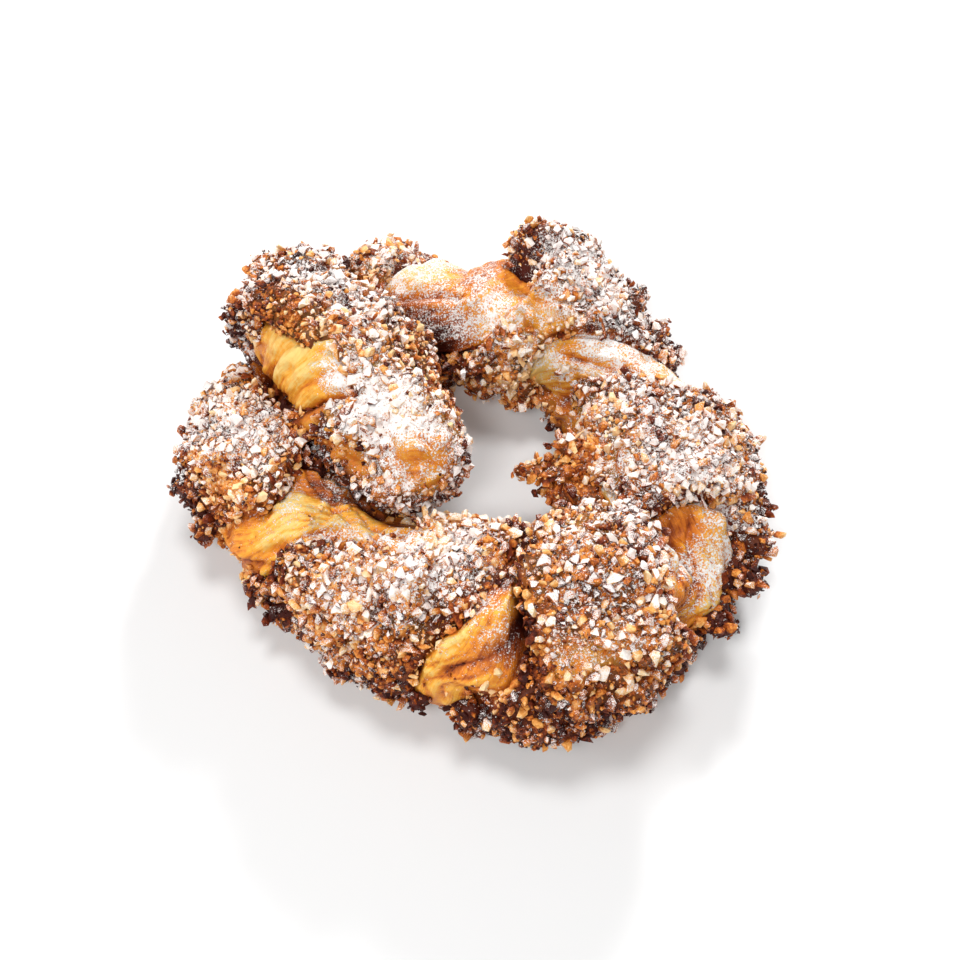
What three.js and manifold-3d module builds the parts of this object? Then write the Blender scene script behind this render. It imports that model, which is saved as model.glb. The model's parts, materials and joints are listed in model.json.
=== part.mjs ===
// A stick of twisted puff pastry coiled into a ring, its free end laid over its other end.
// Millimetres, +Z up. X and Y are centred on the whole pastry; Z = 0 is the flat it was baked on.
import * as THREE from "three";
import { mergeVertices } from "three/addons/utils/BufferGeometryUtils.js";
import Module from "manifold-3d";

const wasm = await Module();
wasm.setup();

// The rope is a nut-coated strip twisted on itself, so nutty folds and bare folds take turns.
// Each row is one fold where it passes over the top of the rope: its distance from the free tip,
// the rope's half thickness there, and how far the rope strays outward from the ring's line.
const folds = [
  { at: 2, half: 12.5, stray: 0 }, // nutty, at the free tip
  { at: 27, half: 16, stray: 0 }, // bare
  { at: 52, half: 17, stray: 0 }, // nutty
  { at: 71, half: 16, stray: 0 }, // bare, at the sharp turn
  { at: 89, half: 14, stray: 0 }, // nutty
  { at: 114, half: 16.5, stray: -3 }, // bare, at the back
  { at: 146, half: 19.5, stray: 4 }, // nutty
  { at: 170, half: 16.5, stray: 0 }, // bare
  { at: 202, half: 19, stray: -2.5 }, // nutty, on the right
  { at: 229, half: 18, stray: 0.5 }, // bare
  { at: 254, half: 23.5, stray: 1 }, // nutty, the fattest
  { at: 272, half: 22, stray: 0 }, // bare
  { at: 291, half: 20.5, stray: -2.5 }, // nutty, at the front
  { at: 324, half: 17.5, stray: -2.5 }, // bare
  { at: 351, half: 18.5, stray: 1 }, // nutty, on the left
  { at: 380, half: 15, stray: 0.5 }, // bare, going under the free end
  { at: 405, half: 11, stray: 1 }, // nutty, at the hidden tip
];
// Half width of each nutty fold, as a share of the way from one nutty fold to the next.
const nuttyShares = [0.3, 0.3, 0.2, 0.22, 0.37, 0.3, 0.34, 0.34, 0.3];
const nuttyCrest = 0.07; // rise of a nutty fold's middle over the mean rope, as a share of it
const bareCrest = 0; // the same for a bare fold
const creaseDepth = 0.1; // fall of the crease between two folds below the mean rope
const steepOnTop = 0.32; // the folds cross the rope more steeply on top
const steepOutside = 0.46; // and most steeply on the outside of the ring, where the rope is stretched

// The ring's line, as bearings from +X towards +Y round the ring's middle, and reach from there.
const ringMiddle = { x: -2, y: 6 };
const ringReach = 51;
const ringStretch = 5; // reach gained along the ring's long axis and lost across it
const longAxisBearing = -38;
const turnBearing = 122; // the ring starts at the sharp turn at the back left
const hiddenBearing = -226; // and ends under the free end
const turnPull = 9; // extra reach at the sharp turn
const turnFade = 16; // degrees over which that extra reach dies away
const ringStartsAt = 84; // distance from the free tip of the ring's first section
const restShare = 0.98; // height of the rope's middle over the flat, as a share of its half thickness

// The free end's line: its tip over the ring's hole, two guiding points, and the sharp turn.
const freeTip = new THREE.Vector3(-17, -5, 40);
const freeGuide = new THREE.Vector3(-27, 12, 45);
const turnGuide = new THREE.Vector3(-49, 39, 39);
const sharpTurn = new THREE.Vector3(-46, 53, 20);
const freeFlatness = 0.93; // the free end is a little lower than it is wide

const freeSections = 22; // sections along each strand
const ringSections = 84;
const capSections = 4; // sections in each rounded end
const sectionSides = 38;

// Row of the folds table reached at a distance from the tip, with a fraction between rows.
function foldRowAt(distance) {
  const last = folds.length - 1;
  let row = 0;
  while (row < last - 1 && distance > folds[row + 1].at) {
    row += 1;
  }
  return row + (distance - folds[row].at) / (folds[row + 1].at - folds[row].at);
}

// A size from the folds table, eased from row to row.
function easedSize(distance, name) {
  const place = THREE.MathUtils.clamp(foldRowAt(distance), 0, folds.length - 1);
  const row = Math.min(Math.floor(place), folds.length - 2);
  const ease = THREE.MathUtils.smoothstep(place - row, 0, 1);
  return THREE.MathUtils.lerp(folds[row][name], folds[row + 1][name], ease);
}

// Domed height of a fold across its width: 1 in the middle, 0 at the creases on both sides.
function dome(across) {
  return Math.sqrt(Math.max(0, 1 - across * across));
}

// Share by which the surface stands over the mean rope, at a distance along and an angle around it.
// The angle runs from the right-hand side of travel over the top; whole turns are nutty folds.
function foldRelief(distance, angle) {
  const past = angle - Math.PI / 2;
  const climb = past - steepOnTop * Math.sin(past) - steepOutside * (1 - Math.cos(past));
  const turn = foldRowAt(distance) / 2 - climb / Math.PI;
  const nearest = THREE.MathUtils.clamp(Math.round(turn), 0, nuttyShares.length - 1);
  const nuttyHalf = nuttyShares[nearest];
  const offMiddle = Math.abs(turn - Math.round(turn));
  if (offMiddle < nuttyHalf) {
    return (nuttyCrest + creaseDepth) * dome(offMiddle / nuttyHalf) - creaseDepth;
  }
  const bareHalf = 0.5 - nuttyHalf;
  return (bareCrest + creaseDepth) * dome((0.5 - offMiddle) / bareHalf) - creaseDepth;
}

// Middles of the rope's sections round the ring, with their distances from the free tip.
function ringLine() {
  const line = [];
  let distance = ringStartsAt;
  let before = null;
  for (let step = 0; step <= ringSections; step += 1) {
    const bearing = THREE.MathUtils.lerp(turnBearing, hiddenBearing, step / ringSections);
    const offAxis = THREE.MathUtils.degToRad(bearing - longAxisBearing);
    const pull = turnPull * Math.exp(-(((turnBearing - bearing) / turnFade) ** 2));
    const reach = ringReach + ringStretch * Math.cos(2 * offAxis) + pull;
    const outward = new THREE.Vector3(1, 0, 0);
    outward.applyAxisAngle(new THREE.Vector3(0, 0, 1), THREE.MathUtils.degToRad(bearing));
    const smoothMiddle = outward.clone().multiplyScalar(reach);
    if (before) {
      distance += smoothMiddle.distanceTo(before);
    }
    before = smoothMiddle;
    const middle = smoothMiddle.clone().addScaledVector(outward, easedSize(distance, "stray"));
    middle.x += ringMiddle.x;
    middle.y += ringMiddle.y;
    middle.z = restShare * easedSize(distance, "half");
    line.push({ middle, distance });
  }
  return line;
}

// The same for the free end, from its tip to the sharp turn.
function freeLine() {
  const curve = new THREE.CubicBezierCurve3(freeTip, freeGuide, turnGuide, sharpTurn);
  const length = curve.getLength();
  return curve.getSpacedPoints(freeSections).map((middle, step) => ({
    middle,
    distance: (length * step) / freeSections,
  }));
}

// Sections of a strand: middle, sideways and upward directions, and half sizes.
function sectionsOf(line, flatness) {
  const up = new THREE.Vector3(0, 0, 1);
  return line.map(({ middle, distance }, index) => {
    const before = line[Math.max(0, index - 1)].middle;
    const after = line[Math.min(line.length - 1, index + 1)].middle;
    const travel = new THREE.Vector3().subVectors(after, before).normalize();
    const side = new THREE.Vector3().crossVectors(travel, up).normalize();
    const rise = new THREE.Vector3().crossVectors(side, travel);
    const wide = easedSize(distance, "half");
    return { middle, travel, side, rise, wide, tall: wide * flatness, distance };
  });
}

// Rounded end: sections shrinking as a quarter circle beyond an end section, up to its pole.
function roundedEnd(end, direction) {
  const cap = [];
  for (let step = 1; step < capSections; step += 1) {
    const turn = (step / capSections) * (Math.PI / 2);
    const out = direction * end.wide * Math.sin(turn);
    cap.push({
      ...end,
      middle: end.middle.clone().addScaledVector(end.travel, out),
      wide: end.wide * Math.cos(turn),
      tall: end.tall * Math.cos(turn),
      distance: end.distance + out,
    });
  }
  const pole = end.middle.clone().addScaledVector(end.travel, direction * end.wide);
  return { cap, pole };
}

// Closed surface of one strand, its folds winding round it and both its ends rounded.
function twistedStrand(line, flatness) {
  const body = sectionsOf(line, flatness);
  const start = roundedEnd(body[0], -1);
  const finish = roundedEnd(body[body.length - 1], 1);
  const sections = [...start.cap.reverse(), ...body, ...finish.cap];
  const points = [];
  for (const section of sections) {
    for (let side = 0; side < sectionSides; side += 1) {
      const angle = (side / sectionSides) * 2 * Math.PI;
      const swell = 1 + foldRelief(section.distance, angle);
      const point = section.middle.clone();
      point.addScaledVector(section.side, section.wide * swell * Math.cos(angle));
      point.addScaledVector(section.rise, section.tall * swell * Math.sin(angle));
      points.push(point.x, point.y, point.z);
    }
  }
  const startPole = points.length / 3;
  const finishPole = startPole + 1;
  points.push(start.pole.x, start.pole.y, start.pole.z);
  points.push(finish.pole.x, finish.pole.y, finish.pole.z);

  const faces = [];
  for (let ring = 0; ring < sections.length - 1; ring += 1) {
    for (let side = 0; side < sectionSides; side += 1) {
      const here = ring * sectionSides + side;
      const beside = ring * sectionSides + ((side + 1) % sectionSides);
      const ahead = here + sectionSides;
      const aheadBeside = beside + sectionSides;
      faces.push(here, aheadBeside, beside, here, ahead, aheadBeside);
    }
  }
  const lastRing = (sections.length - 1) * sectionSides;
  for (let side = 0; side < sectionSides; side += 1) {
    const beside = (side + 1) % sectionSides;
    faces.push(startPole, side, beside);
    faces.push(finishPole, lastRing + beside, lastRing + side);
  }
  const geometry = new THREE.BufferGeometry();
  geometry.setAttribute("position", new THREE.Float32BufferAttribute(points, 3));
  geometry.setIndex(faces);
  return geometry;
}

// A surface as a solid that can be joined and cut, and a solid as a surface again.
function toSolid(geometry) {
  const bare = geometry.clone();
  bare.deleteAttribute("normal");
  bare.deleteAttribute("uv");
  const merged = mergeVertices(bare, 1e-4);
  const mesh = new wasm.Mesh({
    numProp: 3,
    vertProperties: new Float32Array(merged.attributes.position.array),
    triVerts: new Uint32Array(merged.index.array),
  });
  return new wasm.Manifold(mesh);
}

function toGeometry(solid) {
  const mesh = solid.getMesh();
  const geometry = new THREE.BufferGeometry();
  geometry.setAttribute("position", new THREE.Float32BufferAttribute(mesh.vertProperties, 3));
  geometry.setIndex(new THREE.BufferAttribute(new Uint32Array(mesh.triVerts), 1));
  geometry.computeVertexNormals();
  return geometry;
}

const freeEnd = toSolid(twistedStrand(freeLine(), freeFlatness));
const ring = toSolid(twistedStrand(ringLine(), 1));

// What sinks below the baking flat is cut off, which leaves the flats the pastry stands on.
const cutterSize = 400;
const cutter = new THREE.BoxGeometry(cutterSize, cutterSize, cutterSize);
cutter.translate(0, 0, -cutterSize / 2);
const pastrySolid = freeEnd.add(ring).subtract(toSolid(cutter));

const pastryGeometry = toGeometry(pastrySolid);
pastryGeometry.computeBoundingBox();
const { min, max } = pastryGeometry.boundingBox;
pastryGeometry.translate(-(min.x + max.x) / 2, -(min.y + max.y) / 2, -min.z);

const bakedCrust = new THREE.MeshStandardMaterial({
  color: 0xc58a4c,
  roughness: 0.7,
  metalness: 0,
});
const pastry = new THREE.Mesh(pastryGeometry, bakedCrust);
pastry.name = "twisted_pastry";

const part = new THREE.Group();
part.name = "twisted_pastry_ring";
part.add(pastry);

export default part;
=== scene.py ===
import json
import math
import bmesh
import bpy
import numpy as np
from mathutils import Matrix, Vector

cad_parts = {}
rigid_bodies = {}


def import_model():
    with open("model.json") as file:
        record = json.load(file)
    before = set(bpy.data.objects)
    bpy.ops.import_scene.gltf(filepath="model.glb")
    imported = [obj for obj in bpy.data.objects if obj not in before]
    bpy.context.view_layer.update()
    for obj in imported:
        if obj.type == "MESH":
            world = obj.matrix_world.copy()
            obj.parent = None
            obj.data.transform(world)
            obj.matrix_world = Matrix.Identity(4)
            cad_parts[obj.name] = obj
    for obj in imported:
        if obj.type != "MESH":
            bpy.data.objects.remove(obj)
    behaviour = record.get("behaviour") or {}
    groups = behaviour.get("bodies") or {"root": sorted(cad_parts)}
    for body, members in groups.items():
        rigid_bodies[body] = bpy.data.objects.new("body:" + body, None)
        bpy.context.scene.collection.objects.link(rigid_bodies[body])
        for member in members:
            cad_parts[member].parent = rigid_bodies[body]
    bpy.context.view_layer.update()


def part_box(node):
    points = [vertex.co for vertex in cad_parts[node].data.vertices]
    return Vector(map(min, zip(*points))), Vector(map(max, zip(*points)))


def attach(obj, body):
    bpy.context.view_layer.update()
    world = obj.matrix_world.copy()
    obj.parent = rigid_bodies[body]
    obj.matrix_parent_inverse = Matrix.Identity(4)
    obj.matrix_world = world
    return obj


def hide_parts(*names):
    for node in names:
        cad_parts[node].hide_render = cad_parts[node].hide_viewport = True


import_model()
ropeLow, ropeHigh = [np.array(corner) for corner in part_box("twisted_pastry")]
mm = 0.001

# Folds of the rope where they pass over its top: distance from the free tip, the rope's half
# thickness and how far it strays outward, all in millimetres. Nutty and bare folds take turns.
rope = {
    "folds": [
        (2, 12.5, 0), (27, 16, 0), (52, 17, 0), (71, 16, 0), (89, 14, 0), (114, 16.5, -3),
        (146, 19.5, 4), (170, 16.5, 0), (202, 19, -2.5), (229, 18, 0.5), (254, 23.5, 1),
        (272, 22, 0), (291, 20.5, -2.5), (324, 17.5, -2.5), (351, 18.5, 1), (380, 15, 0.5),
        (405, 11, 1),
    ],
    "nuttyShares": [0.3, 0.3, 0.2, 0.22, 0.37, 0.3, 0.34, 0.34, 0.3],
    "steepOnTop": 0.32,
    "steepOutside": 0.46,
    "ringMiddle": (-2, 6),
    "ringReach": 51,
    "ringStretch": 5,
    "longAxisBearing": -38,
    "turnBearing": 122,
    "hiddenBearing": -226,
    "turnPull": 9,
    "turnFade": 16,
    "ringStartsAt": 84,
    "restShare": 0.98,
    "freeCurve": [(-17, -5, 40), (-27, 12, 45), (-49, 39, 39), (-46, 53, 20)],
    "freeFlatness": 0.93,
    # the CAD rope's own counts, so that its box can be met
    "ringSections": 84,
    "freeSections": 22,
    "sides": 38,
    "capSteps": 4,
}
foldAt, foldHalf, foldStray = [np.array(column, float) for column in zip(*rope["folds"])]


def smoothStep(value, low=0.0, high=1.0):
    share = np.clip((value - low) / (high - low), 0, 1)
    return share * share * (3 - 2 * share)


def foldRowAt(distance):
    row = np.clip(np.searchsorted(foldAt, distance) - 1, 0, len(foldAt) - 2)
    return row + (distance - foldAt[row]) / (foldAt[row + 1] - foldAt[row])


def easedSize(distance, column):
    place = np.clip(foldRowAt(distance), 0, len(foldAt) - 1)
    row = np.minimum(np.floor(place).astype(int), len(foldAt) - 2)
    ease = smoothStep(place - row)
    return column[row] * (1 - ease) + column[row + 1] * ease


def foldTurn(distance, angle):
    past = angle - math.pi / 2
    climb = past - rope["steepOnTop"] * np.sin(past) - rope["steepOutside"] * (1 - np.cos(past))
    return foldRowAt(distance) / 2 - climb / math.pi


def ringLine(sections):
    bearing = np.linspace(rope["turnBearing"], rope["hiddenBearing"], sections + 1)
    offAxis = np.radians(bearing - rope["longAxisBearing"])
    pull = rope["turnPull"] * np.exp(-(((rope["turnBearing"] - bearing) / rope["turnFade"]) ** 2))
    reach = rope["ringReach"] + rope["ringStretch"] * np.cos(2 * offAxis) + pull
    outward = np.stack([np.cos(np.radians(bearing)), np.sin(np.radians(bearing))], -1)
    smooth = outward * reach[:, None]
    steps = np.linalg.norm(np.diff(smooth, axis=0), axis=1)
    distance = rope["ringStartsAt"] + np.concatenate([[0], np.cumsum(steps)])
    flat = smooth + outward * easedSize(distance, foldStray)[:, None] + rope["ringMiddle"]
    height = rope["restShare"] * easedSize(distance, foldHalf)
    return np.column_stack([flat, height]), distance


def freeLine(sections):
    tip, guide, turnGuide, turn = np.array(rope["freeCurve"], float)
    t = np.linspace(0, 1, sections * 8 + 1)[:, None]
    curve = tip * (1 - t) ** 3 + guide * 3 * t * (1 - t) ** 2
    curve = curve + turnGuide * 3 * t * t * (1 - t) + turn * t ** 3
    steps = np.concatenate([[0], np.cumsum(np.linalg.norm(np.diff(curve, axis=0), axis=1))])
    distance = np.linspace(0, steps[-1], sections + 1)
    return np.stack([np.interp(distance, steps, curve[:, axis]) for axis in range(3)], -1), distance


# smooth noise from -1 to 1, with lumps of the given size in millimetres
def softNoise(points, size, seed=0):
    place = points / size + np.array([seed * 7.13, seed * 3.71, seed * 5.37])
    cell = np.floor(place).astype(np.int64)
    part = place - cell
    part = part * part * part * (part * (part * 6 - 15) + 10)
    total = np.zeros(points.shape[:-1])
    for corner in np.ndindex(2, 2, 2):
        key = cell + np.array(corner)
        mixed = (key[..., 0] * 73856093) ^ (key[..., 1] * 19349663) ^ (key[..., 2] * 83492791)
        mixed = mixed ^ (seed * 2654435)
        mixed = (mixed ^ (mixed >> 13)) * 1274126177 & 0xFFFFFFFF
        mixed = (mixed ^ (mixed >> 16)) * 2246822519 & 0xFFFFFFFF
        share = np.prod(np.where(np.array(corner) == 1, part, 1 - part), axis=-1)
        total += share * (mixed / 0x7FFFFFFF - 1)
    return total


def roughNoise(points, size, octaves, seed=0):
    layers = [softNoise(points, size / 2 ** k, seed + k * 11) / 2 ** k for k in range(octaves)]
    return sum(layers) / 1.5


# Sizes in millimetres, angles in degrees round the rope: 0 faces the hole, 90 up, 180 outward.
# Rows by fold run from the free tip, as the rope's own folds do. Places on the rope are given
# by distance and angle, with how far they reach along and round it.
dough = {
    "nuttyCrest": 0.09,  # how far nutty folds stand over bare ones, as a share of the half size
    "creaseDepth": 0.12,
    "edgeWander": 0.04,  # how unevenly the folds' edges run, as a share of two folds
    "wanderSize": 14,
    "standSize": 17,  # how long the stretches are in which an edge stands up or melts in
    "lipInset": 1.3,
    "lipWidth": 2.0,
    "lipLift": 1.9,
    "lipOverhang": 2.8,
    "gougeDepth": 3.2,
    "gougeWidth": 1.7,
    "lumpHeight": 2.4,
    "lumpSize": 13,
    "layerHeight": 0.3,
    "layerWidth": 1.6,
    "layerLength": 45,
    "layerBends": (15, 4),
    "layerShowSize": 12,
    "wrinkleHeight": 1.4,
    "wrinkleSize": (3.5, 9),
    # distance, angle, reach along, reach round, how much clearer the pastry's layers show
    "layerPatches": [
        (36, 150, 14, 40, -0.7), (233, 138, 9, 30, 1.5), (283, 150, 6, 25, 1.5),
        (274, 112, 9, 40, 1.0), (322, 95, 12, 40, 1.0), (340, 62, 10, 22, 0.8),
        (122, 60, 20, 45, -0.9), (168, 95, 12, 40, -0.7), (-8, 95, 9, 50, -0.6),
        (228, 130, 10, 30, -0.3),
    ],
    "crumbHeight": 3.5,
    "clumpSize": 6.5,
    "pebbleSize": 3.6,
    # nutty fold, near or far edge, angle, spread, how much further its nuts reach there
    "edgeShifts": [
        (0, 1, 60, 30, 6), (0, -1, 120, 70, 14), (0, 1, 132, 26, -9), (0, 1, 175, 26, -7),
        (1, -1, 158, 16, -4), (1, -1, 192, 24, -10), (1, -1, 90, 30, 14), (1, -1, 50, 40, 12),
        (0, 1, 88, 20, 9), (1, -1, 116, 17, 9), (1, -1, 146, 18, -8), (1, -1, 170, 25, -5),
        (2, 1, 95, 40, -4), (2, 1, 135, 35, -8), (3, -1, 62, 22, -12), (3, -1, 30, 20, -6),
        (3, -1, 140, 22, 8), (3, -1, 98, 18, -12), (3, -1, -5, 30, -16), (4, -1, -5, 28, -16),
        (4, 1, 58, 16, 5), (4, 1, 92, 22, -8), (4, 1, 112, 16, -6), (4, 1, 138, 28, -13),
        (4, 1, 155, 22, -7), (4, 1, 178, 20, -9), (5, -1, 110, 48, -5), (5, 1, 125, 25, -6),
        (6, -1, 78, 25, 5), (6, 1, 80, 30, -9), (7, -1, 85, 35, -6), (7, -1, 55, 28, -16),
        (5, -1, 168, 26, 9), (4, 1, 155, 18, -5),
    ],
    # nutty fold, near or far edge, angle, spread, how much more it stands open there
    "tornEdges": [
        (3, -1, 108, 22, 2.4), (4, 1, 100, 28, 1.4), (5, 1, 88, 30, 1.5), (1, -1, 140, 30, 0.7),
        (0, 1, 150, 30, 0.6), (5, -1, 110, 40, 0.5), (6, 1, 120, 40, 0.4), (7, -1, 110, 30, 0.6),
    ],
    # distance, angle, reach along, reach round, lift
    "swells": [
        (139, 130, 6, 22, 7.5), (135, 106, 6, 20, -6.5), (155, 140, 10, 36, -5),
        (170, 138, 10, 34, -4.5), (185, 140, 9, 28, -2), (239, 168, 6, 24, -8),
        (266, 128, 3, 24, -4.5), (223, 100, 6, 34, -6.5), (266, 90, 3.2, 34, -6.5),
        (352, 165, 12, 25, 2.2), (340, 132, 4, 10, 2), (336, 158, 6, 14, 3), (318, 36, 12, 16, -4),
        (312, 125, 7, 16, 1.5), (326, 108, 6, 14, 1.8), (318, 80, 6, 14, 1.2),
        (60, 125, 11, 38, 2.4), (128, 15, 8, 24, 3), (116, -10, 8, 30, -3), (217, 105, 3, 34, 1.4),
        (196, 150, 14, 25, 2), (256, 150, 12, 28, 1.5),
    ],
    "creases": [
        # distance and angle at each end, depth, width
        (94, 58, 114, 80, 1.8, 4.5), (156, 46, 178, 101, 2.4, 1.5), (222, 92, 236, 120, 1.1, 2.2),
        (221, 112, 238, 145, 1.2, 2.2), (284, 130, 290, 80, 2.8, 1.6),
        (232, 150, 226, 80, 1.2, 1.6), (322, 140, 309, 70, 1.0, 1.3), (37, 178, 29, 118, 1.8, 1.3),
        (43, 180, 35, 122, 1.6, 1.2), (31, 180, 23, 124, 1.5, 1.3), (283, 147, 270, 96, -3, 1.7),
        (278, 150, 266, 108, 2.6, 1.9), (333, 150, 318, 92, 1.5, 1.3),
        (317, 130, 330, 60, 1.2, 1.4), (352, 54, 312, 70, 1.6, 6), (341, 178, 318, 128, 2.2, 2),
        (350, 66, 314, 84, 1.2, 5),
    ],
    "nutPatches": [
        (8, 95, 15, 34, -0.55), (-7, 104, 8, 46, -1.3), (4, 197, 16, 13, 1.6),
        (-12, 150, 4, 60, 0.5), (140, 62, 10, 15, -1.5), (299, 72, 6, 18, -1.3),
        (258, 135, 4, 8, -0.9), (252, 66, 4, 8, -0.7), (204, 50, 4.5, 9, -1.2),
        (189, 4, 12, 9, -1.4), (288, 98, 1.6, 22, -1), (13, 170, 17, 22, -0.95),
        (173, -10, 12, 24, -1.6), (318, 38, 12, 16, -1.2), (264, 88, 2.6, 30, -1),
        (200, 100, 3, 10, -0.5), (116, 84, 3, 7, 0.7), (222, 189, 16, 12, 1.3),
        (268, 166, 8, 14, 0.9), (345, 185, 10, 25, 0.6), (120, 100, 18, 25, -0.5),
        (20, 65, 8, 20, 0.4), (277, 112, 2.5, 5, 0.6), (281, 133, 2.5, 6, 0.6),
        (327, 98, 3, 7, 0.45), (317, 122, 3, 7, 0.45), (160, 32, 4, 8, 0.5), (226, 80, 3, 5, 0.4),
    ],
    "dustPatches": [
        (36, 150, 12, 25, -0.5), (256, 160, 14, 22, -0.5), (300, 165, 20, 22, -0.4),
        (280, 130, 10, 20, -0.2), (222, 102, 6, 24, -1.2), (208, 100, 8, 35, 0.35),
        (112, 10, 12, 25, -0.5), (320, 120, 14, 30, -0.15), (135, 106, 6, 17, -1.3),
        (103, 95, 9, 22, 0.1), (88, 115, 10, 40, 0.3), (40, 70, 22, 35, 0.3),
        (152, 52, 7, 12, -0.4), (232, 72, 9, 25, 0.4), (224, 165, 20, 14, 0.35),
        (224, 190, 24, 16, -0.8), (132, 5, 14, 38, -0.15), (172, -10, 18, 30, -0.6),
        (318, 38, 12, 18, -1.2), (345, 140, 10, 25, -0.4), (350, 178, 16, 22, -0.5),
        (344, 62, 9, 18, -0.5), (-7, 100, 9, 45, -1.0), (238, 140, 8, 25, -0.4),
        (118, 24, 14, 22, -0.5), (272, 110, 6, 30, 0.25), (13, 172, 17, 24, -1.2),
        (20, 130, 8, 16, 0.3), (14, 98, 14, 30, 0.3), (141, 64, 9, 16, -0.55),
        (272, 128, 5, 14, 0.1), (152, 100, 9, 30, 0.2), (146, 128, 6, 20, 0.4),
        (335, 62, 9, 25, 0.1), (338, 72, 8, 20, -0.55), (284, 85, 9, 30, 0.4),
        (28, 70, 14, 30, 0.45), (228, 118, 8, 22, 0.25), (176, 105, 8, 25, 0.12),
        (266, 122, 3, 30, -0.8), (318, 105, 10, 25, 0.3), (264, 88, 2.4, 30, -1),
        (36, 160, 12, 20, -0.3), (44, 122, 10, 28, -0.25),
    ],
    # places browner or paler than their fold: partly real browning, partly painted shade in clefts,
    # hollows and undersides, and painted light on faces towards the hole
    "bakeAndShadingPatches": [
        (103, 95, 9, 22, -0.4), (88, 115, 10, 40, -0.6), (132, 5, 14, 40, -1.3),
        (224, 190, 24, 16, 0.5), (344, 66, 8, 16, 0.5), (172, -10, 14, 30, 0.3),
        (156, 52, 6, 12, -0.2), (112, 10, 14, 30, 0.6), (118, 34, 14, 18, 0.45),
        (222, 102, 5, 26, 0.75), (218, 50, 8, 14, 0.6), (204, 50, 4.5, 9, 0.5),
        (186, 3, 14, 12, 0.35), (192, 25, 16, 30, -0.6), (13, 168, 17, 22, 0.1),
        (30, 150, 12, 34, -0.3), (60, 140, 10, 24, -0.2), (48, 192, 12, 18, 0.4),
        (110, 42, 11, 24, 0.4), (350, 178, 16, 22, 0.9), (146, 15, 10, 25, -0.65),
        (134, 108, 6, 18, -0.15), (140, 104, 2.5, 16, 0.2), (270, 128, 4, 20, 0.35),
        (-8, 95, 6, 40, 0.28), (44, 120, 12, 30, 0.35), (32, 142, 12, 28, -0.15),
        (335, 62, 10, 24, 0.5), (238, 140, 8, 22, 0.22), (266, 120, 3.2, 34, 0.8),
        (300, 72, 5, 15, 0.3), (265, 88, 2.6, 30, 1.2), (277, 140, 4, 25, 0.35),
        (318, 105, 10, 22, 0.25), (318, 38, 12, 18, 1.0),
    ],
    "dustByFold": [
        1.5, .2, .98, .5, .95, .56, 1.22, .82, 1.03, .8, .9, .3, 1.18, .28, 1.34, .5, .5,
    ],
    "bakeByFold": [.4, .0, .5, .3, .3, .62, .4, .3, .35, .3, .35, .4, .2, .1, .2, .3, .3],
    "outerClean": 0.18,  # how much less sugar lies on the rope's outer and inner flanks
    "flankBakeAndShade": 0.46,  # how much darker those flanks are than its top: partly browner baking, partly painted shade
    "flankFrom": 60,  # degrees from the top to where the flanks begin and have begun
    "flankTo": 105,
    "top": 80,
    "edgeWidth": 2.2,
    "rimInset": 1.5,
    "rimWidth": 2.4,
    "gapReach": 4.0,
    "gapDepth": 7.0,
    "gapFade": (-6, 1),
    "buriedFrom": (0.5, 2.5),  # depths in the other strand between which nuts are left out
    "bareUpTo": (2.0, 4.5),  # heights between which the nuts thin out towards the tray
    "glazeByFold": [.3, .2, .35, .3, .5, .2, .35, .3, .5, .3, .45, .3, 1, .6, 1, .5, .5],
    "ringSections": 450,
    "ringSides": 190,
    "ringCapSteps": 22,
    "freeSections": 130,
    "freeSides": 180,
    "freeCapSteps": 20,
}


def relief(turn, nuttyHalf):
    off = np.abs(turn - np.round(turn))
    crease = dough["creaseDepth"]
    nutty = (dough["nuttyCrest"] + crease) * np.sqrt(np.clip(1 - (off / nuttyHalf) ** 2, 0, 1))
    bare = crease * np.sqrt(np.clip(1 - ((0.5 - off) / (0.5 - nuttyHalf)) ** 2, 0, 1))
    return np.where(off < nuttyHalf, nutty, bare) - crease


def strandSections(line, distance, flatness, capSteps):
    travel = np.gradient(line, axis=0)
    travel /= np.linalg.norm(travel, axis=1)[:, None]
    half = easedSize(distance, foldHalf)
    turn = np.arange(1, capSteps) / capSteps * math.pi / 2
    ends = []
    for index, way in ((0, -1), (-1, 1)):
        out = way * half[index] * np.sin(turn)
        ends.append((
            line[index] + out[:, None] * travel[index],
            np.repeat(travel[index][None], capSteps - 1, 0),
            half[index] * np.cos(turn),
            distance[index] + out,
        ))
    body = (line, travel, half, distance)
    middle, travel, half, distance = [
        np.concatenate([near[::-1], whole, far]) for near, whole, far in zip(ends[0], body, ends[1])
    ]
    side = np.cross(travel, [0, 0, 1])
    side /= np.linalg.norm(side, axis=1)[:, None]
    return middle, travel, side, np.cross(side, travel), half, half * flatness, distance


# degrees from one angle to another, the short way round
def turned(degrees, fromAngle):
    return (degrees - fromAngle + 180) % 360 - 180


def patched(distance, degrees, patches):
    total = np.zeros(distance.shape)
    for at, angle, along, around, amount in patches:
        near = ((distance - at) / along) ** 2 + (turned(degrees, angle) / around) ** 2
        total += amount * np.exp(-near)
    return total


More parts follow.
